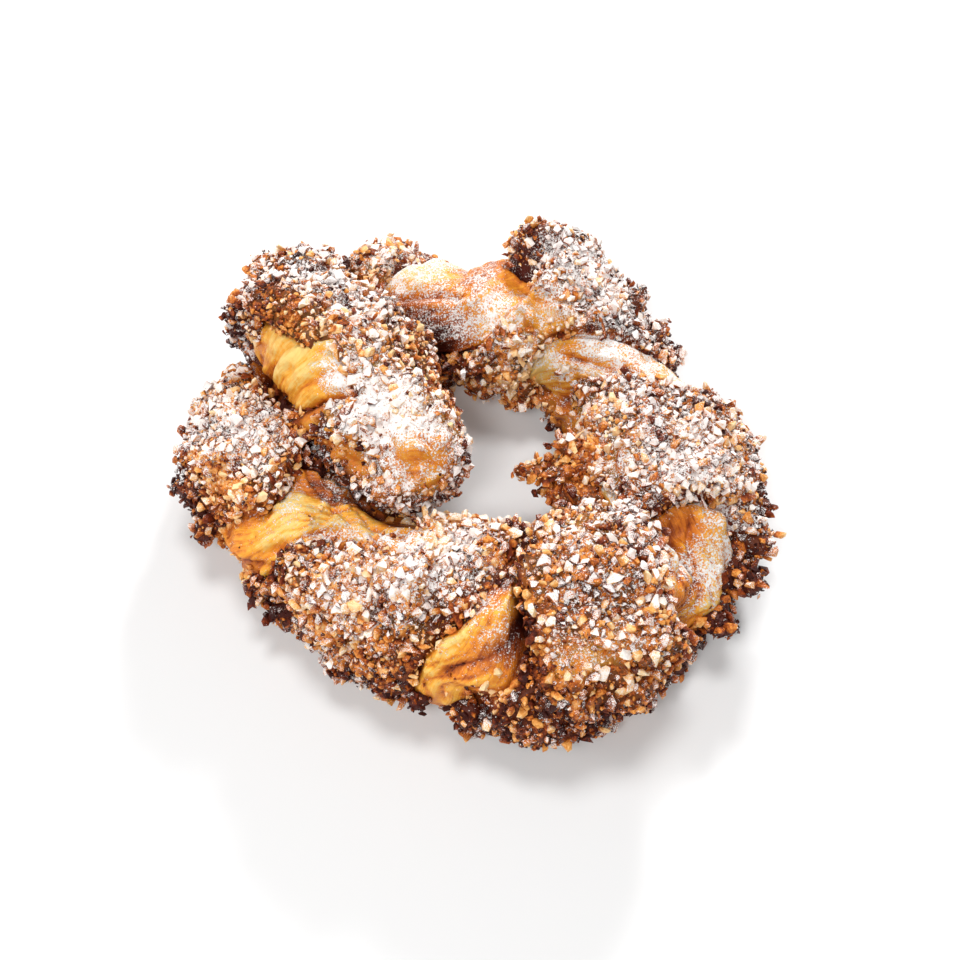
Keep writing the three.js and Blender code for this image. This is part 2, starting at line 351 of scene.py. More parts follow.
def twistedStrand(line, distance, flatness, sides, capSteps, detailed=True):
    sections = strandSections(line, distance, flatness, capSteps)
    middle, travel, side, rise, wide, tall, along = sections
    angle = np.linspace(0, 2 * math.pi, sides, endpoint=False)
    d, a = np.meshgrid(along, angle, indexing="ij")
    side, rise, travel = side[:, None], rise[:, None], travel[:, None]
    wide, tall = wide[:, None, None], tall[:, None, None]
    cos, sin = np.cos(a)[..., None], np.sin(a)[..., None]
    out = cos * side + sin * rise
    mean = middle[:, None] + wide * cos * side + tall * sin * rise
    turn = foldTurn(d, a)
    if detailed:
        turn = turn + dough["edgeWander"] * roughNoise(mean, dough["wanderSize"], 3, 3)
    nearest = np.clip(np.round(turn).astype(int), 0, len(rope["nuttyShares"]) - 1)
    nuttyHalf = np.array(rope["nuttyShares"])[nearest]
    off = turn - np.round(turn)
    degrees = np.degrees(a)
    gap = 2 * np.interp(2 * turn, np.arange(len(foldAt)), np.gradient(foldAt))
    if detailed:
        for row, edge, middleAngle, spread, shift in dough["edgeShifts"]:
            there = (nearest == row) & (np.sign(off) == edge)
            near = np.exp(-(turned(degrees, middleAngle) / spread) ** 2)
            nuttyHalf = nuttyHalf + there * shift / gap * near
        nuttyHalf = np.clip(nuttyHalf, 0.05, 0.49)
    swell = (1 + relief(turn, nuttyHalf))[..., None]
    points = middle[:, None] + swell * (wide * cos * side + tall * sin * rise)
    if not detailed:
        return points, {}
    past = (np.abs(off) - nuttyHalf) * gap  # millimetres outside the nutty fold's edge
    nutty = 1 - smoothStep(past, -0.8, 0.5)
    torn = np.zeros(d.shape)
    for row, edge, middleAngle, spread, opening in dough["tornEdges"]:
        there = (nearest == row) & (np.sign(off) == edge)
        torn += there * opening * np.exp(-(turned(degrees, middleAngle) / spread) ** 2)
    # where a nutty fold's edge stands up over its neighbour, and where it melts into it
    standing = smoothStep(softNoise(mean, dough["standSize"], 21), -0.6, 0.4)
    lipWidth = dough["lipWidth"] * (1 + 0.4 * torn)
    lip = np.exp(-(((past + dough["lipInset"]) / lipWidth) ** 2)) * (standing + torn)
    gougeWidth = dough["gougeWidth"] * (1 + 0.5 * torn)
    gouge = np.exp(-(((past - 0.6 * gougeWidth) / gougeWidth) ** 2))
    gouge = gouge * (0.35 + 0.65 * standing + torn)
    creased = np.zeros(d.shape)
    for fromAt, fromAngle, toAt, toAngle, depth, width in dough["creases"]:
        share = np.clip((degrees - fromAngle) / (toAngle - fromAngle), -0.3, 1.3)
        away = d - (fromAt + share * (toAt - fromAt))
        ends = smoothStep(share, -0.3, 0.1) * (1 - smoothStep(share, 0.9, 1.3))
        valley = np.exp(-np.abs(away) / width)
        brow = np.exp(-((away - 2 * width) / width) ** 2)
        creased += ends * depth * (valley - 0.35 * brow)
    across = (turn - np.floor(turn) - 0.5) * gap  # millimetres from a bare fold's middle
    flow = np.stack([across / dough["layerWidth"], d / dough["layerLength"], a * 0.4], -1)
    ridge = softNoise(flow, 1.0, 31)
    wideBend, narrowBend = dough["layerBends"]
    step = across / (1.7 * dough["layerWidth"]) + 1.8 * softNoise(mean, wideBend, 33)
    step = step + 0.4 * softNoise(mean, narrowBend, 34)
    saw = step - np.floor(step)
    saw = np.where(saw < 0.75, saw / 0.75, (1 - saw) / 0.25)
    clearer = 1 + patched(d, degrees, dough["layerPatches"])
    layered = smoothStep(softNoise(mean, dough["layerShowSize"], 35), -0.5, 0.2) * (1 - nutty)
    layers = layered * clearer * dough["layerHeight"] * (0.5 * ridge + 1.5 * (saw ** 1.6 - 0.4))
    narrow, long = dough["wrinkleSize"]
    flow = np.stack([across / narrow, d / long, a * 2.2], -1) + 0.4 * mean / long
    wrinkles = roughNoise(flow, 1.0, 3, 37) * np.clip(clearer, 0.25, 1.6)
    layers = layers + (1 - nutty) * dough["wrinkleHeight"] * wrinkles
    lumps = dough["lumpHeight"] * roughNoise(mean, dough["lumpSize"], 3, 41)
    clumps = roughNoise(mean, dough["clumpSize"], 2, 43)
    pebbles = np.abs(softNoise(mean, dough["pebbleSize"], 47)) - 0.25
    crumbs = nutty * dough["crumbHeight"] * (clumps + 0.8 * pebbles + 0.3)
    lift = lumps + layers + crumbs + dough["lipLift"] * lip - dough["gougeDepth"] * gouge - creased
    lift = lift + patched(d, degrees, dough["swells"])
    overhang = dough["lipOverhang"] * lip * np.sign(off)
    points = points + lift[..., None] * out + overhang[..., None] * travel
    lastRow = len(foldAt) - 1
    foldRow = np.clip(2 * turn, 0, lastRow)
    rows = np.arange(lastRow + 1)
    fromTop = np.abs(turned(degrees, dough["top"]))
    flank = smoothStep(fromTop, dough["flankFrom"], dough["flankTo"])
    dust = np.interp(foldRow, rows, dough["dustByFold"]) + patched(d, degrees, dough["dustPatches"])
    # browning by fold, with the patches' painted shade and painted light
    bake = np.interp(foldRow, rows, dough["bakeByFold"]) + patched(d, degrees, dough["bakeAndShadingPatches"])
    more = patched(d, degrees, dough["nutPatches"])
    nutty = np.clip(nutty + np.minimum(more, 0), 0, 1)
    cover = nutty * (1.3 + 0.5 * clumps) + np.maximum(more, 0)
    rim = np.exp(-(((past + dough["rimInset"]) / dough["rimWidth"]) ** 2))
    facts = {
        "nutty": nutty,
        "nutDensity": np.clip(cover, 0, 1),
        # painted shade in the gouges and creases
        "deep": np.clip(gouge + creased * 0.5, 0, 2),
        "layerEdge": layered * smoothStep(saw, 0.55, 1),
        "dust": dust - dough["outerClean"] * flank,
        # nutty folds' flanks darker than their top: partly browner baking, partly painted shade
        "bake": bake + dough["flankBakeAndShade"] * nutty * flank,
        # painted highlight on ridges and on the brows beside creases
        "pale": np.clip(-0.4 * creased, 0, 1),
        # wrinkle heights: painted light on their crests and painted shade in their troughs
        "wrinkle": (1 - nutty) * wrinkles,
        "edge": np.exp(-((past / dough["edgeWidth"]) ** 2)),
        "rim": rim * (0.25 + 0.75 * standing) * np.clip(1 + more, 0, 1),
        "glaze": np.interp(foldRow, rows, dough["glazeByFold"]),
        # painted shade in the hollows between nut clumps
        "hollow": nutty * smoothStep(-clumps - 0.8 * pebbles, -0.15, 0.4),
        "across": across,
        "along": d,
        "flaky": layered * np.clip(clearer - 0.6, 0.3, 1.2) * smoothStep(0.45 - saw, 0, 0.4),
    }
    return points, facts


def closedTube(points, poles):
    sections, sides = points.shape[:2]
    index = np.arange(sections * sides).reshape(sections, sides)
    here, beside = index[:-1], np.roll(index[:-1], -1, 1)
    ahead, aheadBeside = index[1:], np.roll(index[1:], -1, 1)
    quads = np.stack([here, ahead, aheadBeside, beside], -1).reshape(-1, 4)
    startPole, finishPole = sections * sides, sections * sides + 1
    first, last = index[0], index[-1]
    starts = np.stack([np.full(sides, startPole), first, np.roll(first, -1)], -1)
    finishes = np.stack([np.full(sides, finishPole), np.roll(last, -1), last], -1)
    faces = quads.tolist() + starts.tolist() + finishes.tolist()
    return np.concatenate([points.reshape(-1, 3), poles]), faces


print("rope: finding where it lies")
counts = rope["sides"], rope["capSteps"]
plainRing = twistedStrand(*ringLine(rope["ringSections"]), 1, *counts, detailed=False)[0]
plainFree = freeLine(rope["freeSections"])
plainFree = twistedStrand(*plainFree, rope["freeFlatness"], *counts, detailed=False)[0]
plain = np.concatenate([plainRing.reshape(-1, 3), plainFree.reshape(-1, 3)])
ropeShift = (ropeLow + ropeHigh) / 2 / mm - (plain.min(0) + plain.max(0)) / 2
ropeShift[2] = 0


# how deep each point lies inside the other strand, in millimetres; negative outside it
def depthInside(points, line, distance):
    half = easedSize(distance, foldHalf)
    depth = np.full(len(points), -99.0)
    for spot, size in zip(line, half):
        depth = np.maximum(depth, size - np.linalg.norm(points - spot, axis=1))
    return depth


# a smooth mesh from points in millimetres, which keeps what is known of each point
def newPiece(name, verts, faces, facts):
    mesh = bpy.data.meshes.new(name)
    mesh.from_pydata((verts * mm).tolist(), [], faces)
    mesh.polygons.foreach_set("use_smooth", [True] * len(mesh.polygons))
    for key, values in facts.items():
        layer = mesh.attributes.new(key, "FLOAT", "POINT")
        layer.data.foreach_set("value", np.broadcast_to(values, len(verts)).astype(np.float32))
    piece = bpy.data.objects.new(name, mesh)
    bpy.context.scene.collection.objects.link(piece)
    return piece


def doughMesh(name, line, flatness, strand, otherLine, gap):
    sides, capSteps = dough[strand + "Sides"], dough[strand + "CapSteps"]
    points, facts = twistedStrand(*line, flatness, sides, capSteps)
    # a strand draws in where the other one lies over it, so a gap shows between them, with painted
    # shade in it
    near = depthInside(points.reshape(-1, 3), *otherLine).reshape(points.shape[:2])
    close = np.exp(-((np.minimum(near, 0) / dough["gapReach"]) ** 2))
    drawnIn = close * smoothStep(-near, *dough["gapFade"]) * gap
    middle = points.mean(1, keepdims=True)
    inward = middle - points
    inward /= np.linalg.norm(inward, axis=-1, keepdims=True)
    points = points + inward * (drawnIn * dough["gapDepth"])[..., None]
    # painted shade in the gap under the other strand
    facts["deep"] = facts["deep"] + drawnIn * 2
    for key in ("dust", "nutDensity", "rim"):
        facts[key] = facts[key] * (1 - drawnIn)
    poles = np.stack([points[0].mean(0), points[-1].mean(0)])
    verts, faces = closedTube(points, poles)
    flatFacts = {
        key: np.concatenate([value.reshape(-1), [value[0].mean(), value[-1].mean()]])
        for key, value in facts.items()
    }
    buried = smoothStep(depthInside(verts, *otherLine), *dough["buriedFrom"])
    verts = verts + ropeShift
    verts[:, 2] = np.maximum(verts[:, 2], 0)
    hold = (1 - buried) * smoothStep(verts[:, 2], *dough["bareUpTo"])
    for key in ("nutDensity", "rim"):
        flatFacts[key] *= hold
    return newPiece(name, verts, faces, flatFacts)


print("dough: twisting the ring and the free end")
ring, free = ringLine(dough["ringSections"]), freeLine(dough["freeSections"])
ringDough = doughMesh("ringDough", ring, 1, "ring", free, gap=1)
freeDough = doughMesh("freeDough", free, rope["freeFlatness"], "free", ring, gap=0)


# Ragged bits of nut crust that stick out past the folds, each where it grows from and how far
# it reaches, how wide and thick it is, how it leans along the rope and how much its tip sinks.
scraps = {
    "places": [
        (201, 14, 22, 9, 6, -0.05, 3), (197, 24, 14, 8, 5, -0.1, 1), (205, 12, 16, 9, 6, 0.05, 2),
        (209, 4, 11, 8, 6, 0.1, 3), (199, 20, 17, 5, 4, 0.25, 2), (206, -8, 13, 4, 2.5, 0.1, 8),
        (200, 4, 12, 8, 6, 0, 3), (190, 4, 6, 8, 5, 0, 1), (208, 166, 6, 6, 4, 0, 0),
        (211, 168, 8, 8, 5, 0, 0), (217, 171, 8, 9, 6, 0.1, 0), (223, 174, 8, 10, 6, 0.1, 1),
        (229, 180, 7, 8, 5, 0.2, 1), (214, 176, 8, 8, 6, 0, 2), (221, 182, 8, 9, 6, 0, 3),
        (352, 172, 6, 7, 5, 0, 1), (346, 179, 6, 8, 5, 0, 2), (98, -2, 7, 7, 4, 0.1, 3),
        (105, -6, 5, 6, 4, -0.1, 2), (135, 2, 5, 7, 4, 0.2, 2), (92, 6, 5, 5, 3, -0.2, 2),
        (360, 165, 4, 6, 4, 0, 0), (322, 186, 6, 7, 5, 0, 1), (314, 186, 4, 6, 4, 0, 1),
        (331, 172, 6, 4, 2, 0, 1), (303, 190, 5, 6, 4, 0, 1), (292, 190, 4, 6, 4, 0, 1),
        (284, 188, 4, 6, 4, 0, 1), (267, 190, 6, 7, 5, 0, 1), (276, 188, 4, 6, 4, 0, 1),
        (258, 190, 5, 8, 5, 0, 1), (250, 188, 4, 6, 4, 0, 1), (60, 135, 5, 6, 4, 0, 0),
        (50, 152, 4, 6, 4, 0, 0), (88, 118, 4, 6, 4, 0, 0), (95, 115, 3, 5, 3, 0, 0),
        (141, 126, 4, 6, 4, -0.2, 0), (122, -5, 6, 9, 5, 0, 1), (130, -9, 7, 9, 5, 0, 2),
        (138, -10, 6, 9, 5, 0, 2), (113, -14, 6, 6, 4, 0, 2), (187, 135, 4, 6, 4, 0, 0),
        (199, 155, 3, 6, 4, 0, 0), (0, 30, 3, 3, 2, 0, 0), (5, 24, 3, 3, 2, 0, 0),
        (268, 30, 4, 6, 4, 0, 0), (258, 36, 3, 6, 4, 0, 0), (285, 28, 4, 6, 4, 0, 0),
        (152, 140, 4, 6, 4, 0, 0), (160, 150, 3, 6, 4, 0, 0), (15, 168, 4, 6, 4, 0, 1),
        (66, 108, 3, 5, 3, 0, 0), (72, 92, 3, 5, 3, 0, 0), (366, 128, 3, 6, 4, 0, 0),
    ],
    "sections": 12,
    "sides": 14,
    "lumpHeight": 0.36,  # share of a scrap's own width
    "lumpSize": 3.2,
    "root": 2,  # how deep in the rope each one starts
    "lowest": 0.3,
    "innerUpTo": 60,  # degrees from the side that faces the hole
    "paleFrom": (14, 32),  # heights between which the outer ones turn paler and dustier
    "rimFrom": (2.5, 6),
}


def scrapMesh():
    verts, faces = [], []
    sections, sides = scraps["sections"], scraps["sides"]
    along = np.linspace(0, 1, sections)[:, None]
    angle = np.linspace(0, 2 * math.pi, sides, endpoint=False)
    for at, degrees, reach, width, thick, lean, sink in scraps["places"]:
        onFreeEnd = at < rope["ringStartsAt"]
        line, distance = free if onFreeEnd else ring
        flatness = rope["freeFlatness"] if onFreeEnd else 1
        row = np.clip(np.searchsorted(distance, max(at, 0)), 1, len(line) - 2)
        travel = line[row + 1] - line[row - 1]
        travel /= np.linalg.norm(travel)
        side = np.cross(travel, [0, 0, 1])
        side /= np.linalg.norm(side)
        rise = np.cross(side, travel)
        turn = math.radians(degrees)
        out = math.cos(turn) * side + math.sin(turn) * rise
        half = easedSize(np.array([at]), foldHalf)[0]
        start = line[row] + half * (math.cos(turn) * side + flatness * math.sin(turn) * rise)
        root = scraps["root"]
        middle = start - root * out + along * (reach + root) * (out + lean * travel)
        middle = middle - along ** 2 * sink * np.array([0, 0, 1])
        taper = np.sqrt(np.clip(1 - along ** 3, 0.02, 1)) * (1 - 0.25 * along)
        broad = np.cos(angle)[:, None] * travel * width / 2
        through = np.sin(angle)[:, None] * np.cross(travel, out) * thick / 2
        skin = middle[:, None] + taper[:, None] * (broad + through)
        outward = skin - middle[:, None]
        rough = 1 + scraps["lumpHeight"] * 2 * roughNoise(skin, scraps["lumpSize"], 2, 61)
        skin = middle[:, None] + outward * rough[..., None]
        points, ends = closedTube(skin, np.stack([skin[0].mean(0), skin[-1].mean(0)]))
        faces += [[corner + len(verts) for corner in face] for face in ends]
        verts += points.tolist()
    return np.array(verts), faces


scrapVerts, scrapFaces = scrapMesh()
scrapVerts = scrapVerts + ropeShift
scrapVerts[:, 2] = np.maximum(scrapVerts[:, 2], scraps["lowest"])
facesHole = [abs(turned(place[1], 0)) < scraps["innerUpTo"] for place in scraps["places"]]
inner = np.repeat(facesHole, len(scrapVerts) // len(facesHole))
high = smoothStep(scrapVerts[:, 2], *scraps["paleFrom"])
crustScraps = newPiece("crustScraps", scrapVerts, scrapFaces, {
    "nutty": 1,
    "nutDensity": smoothStep(scrapVerts[:, 2], *dough["bareUpTo"]),
    # painted shade in the hollows between the nuts
    "hollow": 0.3,
    "edge": 1,
    "rim": 0.75 * smoothStep(scrapVerts[:, 2], *scraps["rimFrom"]),
    "dust": np.where(inner, 0.55, 0.15 + 0.6 * high),
    "bake": np.where(inner, 0.1, 1.0 - 0.6 * high),
    "glaze": np.where(inner, 0.5, 0.1),
})


# One output of a material's node. Sums and products of these add Math nodes.
class Shade:
    def __init__(self, tree, socket=None):
        self.tree = tree
        self.socket = socket

    def node(self, kind, settings, inputs, output=0):
        made = self.tree.nodes.new(kind)
        for name, value in settings.items():
            if name == "stops":
                ramp = made.color_ramp.elements
                while len(ramp) < len(value):
                    ramp.new(0.5)
                for stop, (position, colour) in zip(ramp, value):
                    stop.position = position
                    stop.color = (*colour, 1)
            else:
                setattr(made, name, value)
        for name, value in inputs.items():
            if isinstance(value, Shade):
                self.tree.links.new(value.socket, made.inputs[name])
            else:
                made.inputs[name].default_value = value
        return Shade(self.tree, made.outputs[output] if len(made.outputs) else None)

    def math(self, operation, first, second):
        return self.node("ShaderNodeMath", {"operation": operation}, {0: first, 1: second})

    def __add__(self, other):
        return self.math("ADD", self, other)

    def __radd__(self, other):
        return self.math("ADD", other, self)

    def __sub__(self, other):
        return self.math("SUBTRACT", self, other)

    def __rsub__(self, other):
        return self.math("SUBTRACT", other, self)

    def __mul__(self, other):
        return self.math("MULTIPLY", self, other)

    def __rmul__(self, other):
        return self.math("MULTIPLY", other, self)

    def step(self, low, high):
        inputs = {"Value": self, "From Min": low, "From Max": high}
        return self.node("ShaderNodeMapRange", {"interpolation_type": "SMOOTHSTEP"}, inputs)

    def attribute(self, name):
        return self.node("ShaderNodeAttribute", {"attribute_name": name}, {}, "Fac")

    def noiseAt(self, place, scale, detail, roughness):
        inputs = {"Vector": place, "Scale": scale, "Detail": detail, "Roughness": roughness}
        return self.node("ShaderNodeTexNoise", {}, inputs, "Fac")

    def noise(self, size, detail, roughness):
        place = self.node("ShaderNodeTexCoord", {}, {}, "Object")
        return self.noiseAt(place, 1 / (size * mm), detail, roughness)

    # streaks that follow the dough's layers: how many to a millimetre across and along them
    def streaks(self, across, along, roughness):
        place = self.node("ShaderNodeCombineXYZ", {}, {
            0: self.attribute("across") * across, 1: self.attribute("along") * along,
        })
        return self.noiseAt(place, 1.0, 3, roughness)

    def up(self):
        normal = self.node("ShaderNodeNewGeometry", {}, {}, "Normal")
        return self.node("ShaderNodeSeparateXYZ", {}, {0: normal}, "Z")

    def blend(self, share, first, second):
        first, second = [
            colour if isinstance(colour, Shade) else (*colour, 1) for colour in (first, second)
        ]
        inputs = {0: share, 6: first, 7: second}
        return self.node("ShaderNodeMix", {"data_type": "RGBA"}, inputs, 2)


def newMaterial(name):
    material = bpy.data.materials.new(name)
    material.use_nodes = True
    material.node_tree.nodes.clear()
    return material, Shade(material.node_tree)


def finishMaterial(shade, settings, links):
    surface = shade.node("ShaderNodeBsdfPrincipled", {}, {**settings, **links})
    shade.node("ShaderNodeOutputMaterial", {}, {"Surface": surface})


# colours as the renderer takes them, from ordinary 0 to 255 red, green and blue
def paint(red, green, blue):
    return tuple((part / 255) ** 2.2 for part in (red, green, blue))


looks = {
    "palest": paint(255, 216, 126),
    "golden": paint(255, 180, 60),
    "amber": paint(232, 134, 40),
    "brown": paint(168, 80, 28),
    "burnt": paint(76, 24, 10),
    "toasted": paint(178, 82, 30),
    "honey": paint(240, 148, 64),
    "glaze": paint(255, 214, 150),
    "sugar": paint(255, 251, 248),
    # streaks of the bare dough: how many to a millimetre across and along, how rough
    "stretch": (1.3, 0.05, 0.6),
    "flecks": (3.6, 0.25, 0.7),
    # sizes in millimetres of what varies over the surfaces
    "blotchSize": 13,
    "fineSize": 1.8,
    "pasteSizes": (3, 8),
    "grainSize": 0.9,
    "driftSize": 6,
    "doughSugarSize": 0.5,
    "nutSugarSize": 0.3,
    "nutSizes": (0.9, 10, 0.8),
}


# share of the surface that sugar covers, from 0 to 1
def sugarCover(shade, size, patchiness, more):
    lie = shade.up().step(-0.4, 0.8)
    drift = shade.noise(looks["driftSize"], 2, 0.5)
    cover = (shade.attribute("dust") + (drift - 0.5) * patchiness + more) * lie
    grain = shade.noise(size, 3, 0.8) * 1.05 + shade.noise(size * 4, 2, 0.5) * 0.3 - 0.175
    wanted = grain + cover * 0.28 - 0.688
    return wanted.step(0, 0.06)


def doughMaterial():
    material, shade = newMaterial("bakedDough")
    nutty = shade.attribute("nutty")
    blotch = shade.noise(looks["blotchSize"], 3, 0.55)
    fine = shade.noise(looks["fineSize"], 4, 0.7)
    stretch = shade.streaks(*looks["stretch"])
    flecks = shade.streaks(*looks["flecks"])
    # darker on faces that look down: partly the underside browned on the tray, partly painted shade
    underBakeAndShade = 1 - shade.up().step(-0.8, 0.2)
    # the bake value carries browning together with painted shade and painted light
    brownness = shade.attribute("bake") * 0.6 + (blotch - 0.5) * 0.8 + (fine - 0.5) * 0.6 + 0.14
    streaky = (stretch - 0.5) * 0.5 + (flecks - 0.5) * 0.6
    brownness = brownness + streaky * (1 - nutty) + underBakeAndShade * 0.35
    # painted highlight on ridges
    # painted light on wrinkle crests and painted shade in their troughs
    brownness = brownness - shade.attribute("pale") * 0.3 - shade.attribute("wrinkle") * 0.3
    brownness = brownness + shade.attribute("flaky") * 0.34 + shade.attribute("edge") * 0.24
    # painted shade in gouges, creases and the gap under the other strand
    brownness = brownness + shade.attribute("deep") * 0.3 - shade.attribute("layerEdge") * 0.1
    stops = [
        (0.0, looks["palest"]), (0.26, looks["golden"]), (0.5, looks["amber"]),
        (0.76, looks["brown"]), (1.0, looks["burnt"]),
    ]
    crust = shade.node("ShaderNodeValToRGB", {"stops": stops}, {"Fac": brownness})
    # how pale the baked paste of nuts and sugar is: dark in its hollows as painted shade, glossy
    # cream on top
    stuck = (fine - 0.5) * 2.3 + 0.22
    stuck = stuck - shade.attribute("hollow") * 0.5 + shade.attribute("glaze") * 0.45
    for size in looks["pasteSizes"]:
        stuck = stuck + (shade.noise(size, 2, 0.5) - 0.5) * 0.9
    # the paste darkens with painted shade in gouges and creases, and with the bake value
    stuck = stuck - shade.attribute("deep") * 0.3 - shade.attribute("bake") * 0.25
    pasteStops = [
        (0.16, looks["burnt"]), (0.38, looks["toasted"]),
        (0.6, looks["honey"]), (0.92, looks["glaze"]),
    ]
    paste = shade.node("ShaderNodeValToRGB", {"stops": pasteStops}, {"Fac": stuck})
    crust = shade.blend(nutty * 0.9, crust, paste)
    sugar = sugarCover(shade, looks["doughSugarSize"], 0.9, nutty * -0.36)
    colour = shade.blend(sugar, crust, looks["sugar"])
    grain = shade.noise(looks["grainSize"], 4, 0.65) * (0.8 + nutty * 0.8)
    height = grain + sugar * 0.5 + (stretch * 0.4 + flecks * 0.7) * (1 - nutty)
    bumpInputs = {"Strength": 0.7, "Distance": 0.6 * mm, "Height": height}
    normal = shade.node("ShaderNodeBump", {}, bumpInputs, "Normal")
    finishMaterial(shade, {"Specular IOR Level": 0.3, "Coat Roughness": 0.35}, {
        "Base Color": colour,
        "Roughness": 0.48 + sugar * 0.45,
        "Normal": normal,
        "Coat Weight": 0.12 - sugar * 0.12,
    })
    return material


toasting = {
    "choppedNut": {
        "moreSugar": -0.16,
        "stops": [
            (0.0, paint(58, 18, 9)), (0.22, paint(122, 50, 20)), (0.46, paint(206, 114, 42)),
            (0.74, paint(246, 172, 88)), (1.0, paint(255, 218, 162)),
        ],
    },
    "toastedNut": {
        "moreSugar": -0.6,
        "stops": [
            (0.0, paint(66, 24, 12)), (0.3, paint(116, 46, 18)), (0.6, paint(184, 94, 36)),
            (0.85, paint(232, 152, 74)), (1.0, paint(250, 206, 146)),
        ],
    },
}


def nutMaterial(name):
    material, shade = newMaterial(name)
    fleshSize, toastSize, grainSize = looks["nutSizes"]
    tone = shade.attribute("tone") * 0.95 - 0.06 + (shade.noise(fleshSize, 3, 0.75) - 0.5) * 1.2
    tone = tone + (shade.noise(toastSize, 2, 0.5) - 0.5) * 0.9
    # chips take the same browning, painted shade and painted light
    tone = tone - shade.attribute("bake") * 0.55 + 0.03
    # chips lower over the dough are darker: partly the darker syrup they sit in, partly painted
    # shade between them
    tone = tone + shade.attribute("stand") * 0.22 + (1 - shade.attribute("nutty")) * 0.3
    flesh = shade.node("ShaderNodeValToRGB", {"stops": toasting[name]["stops"]}, {"Fac": tone})
    # some chips turned over after the dusting, so each has its own share of sugar
    chance = shade.node("ShaderNodeMath", {"operation": "FRACT"}, {0: shade.attribute("tone") * 5})
    more = shade.attribute("stand") * 0.22 + chance.step(0, 0.6) * 1.1 - 0.95
    more = more + toasting[name]["moreSugar"]
    sugar = sugarCover(shade, looks["nutSugarSize"], 1.6, more) * 0.9
    colour = shade.blend(sugar, flesh, looks["sugar"])
    bumpInputs = {"Strength": 0.8, "Distance": 0.6 * mm, "Height": shade.noise(grainSize, 4, 0.65)}
    normal = shade.node("ShaderNodeBump", {}, bumpInputs, "Normal")
    finishMaterial(shade, {"Specular IOR Level": 0.25}, {
        "Base Color": colour, "Roughness": 0.5 + sugar * 0.4, "Normal": normal,
    })
    return material


# angular chips about one unit across, as a knife leaves them
def chipShapes(chip):
    random = np.random.default_rng(chip["shapeSeed"])
    name, corners, slimness = chip["shape"], chip["corners"], chip["slimness"]
    shapes = bpy.data.collections.new(name)
    for index in range(chip["kinds"]):
        breadth = random.uniform(0.6, 0.95) * slimness
        thickness = random.uniform(0.4, 0.75) * slimness
        box = np.array([1, breadth, thickness])
        spots = random.normal(size=(corners, 3))
        spots = spots / np.linalg.norm(spots, axis=1)[:, None]
        spots = spots * random.uniform(0.8, 1, (corners, 1))
        shell = bmesh.new()
        for spot in spots * box / 2:
            shell.verts.new(spot)
        hull = bmesh.ops.convex_hull(shell, input=shell.verts)
        spare = [item for item in hull["geom_interior"] if isinstance(item, bmesh.types.BMVert)]
        bmesh.ops.delete(shell, geom=spare, context="VERTS")
        mesh = bpy.data.meshes.new(f"{name}{index}")
        shell.to_mesh(mesh)
        shell.free()
        shapes.objects.link(bpy.data.objects.new(f"{name}{index}", mesh))
    return shapes


# how every tree scatters, with a seed for each thing it draws
scatter = {
    "densest": 4e6,  # most points on a square metre, before spacing thins them out
    "smallBias": 1.8,  # above 1, small chips are commoner than large ones
    "leanSeed": 3,
    "sizeSeed": 5,
    "liftSeed": 9,
    "toneSeed": 13,
}


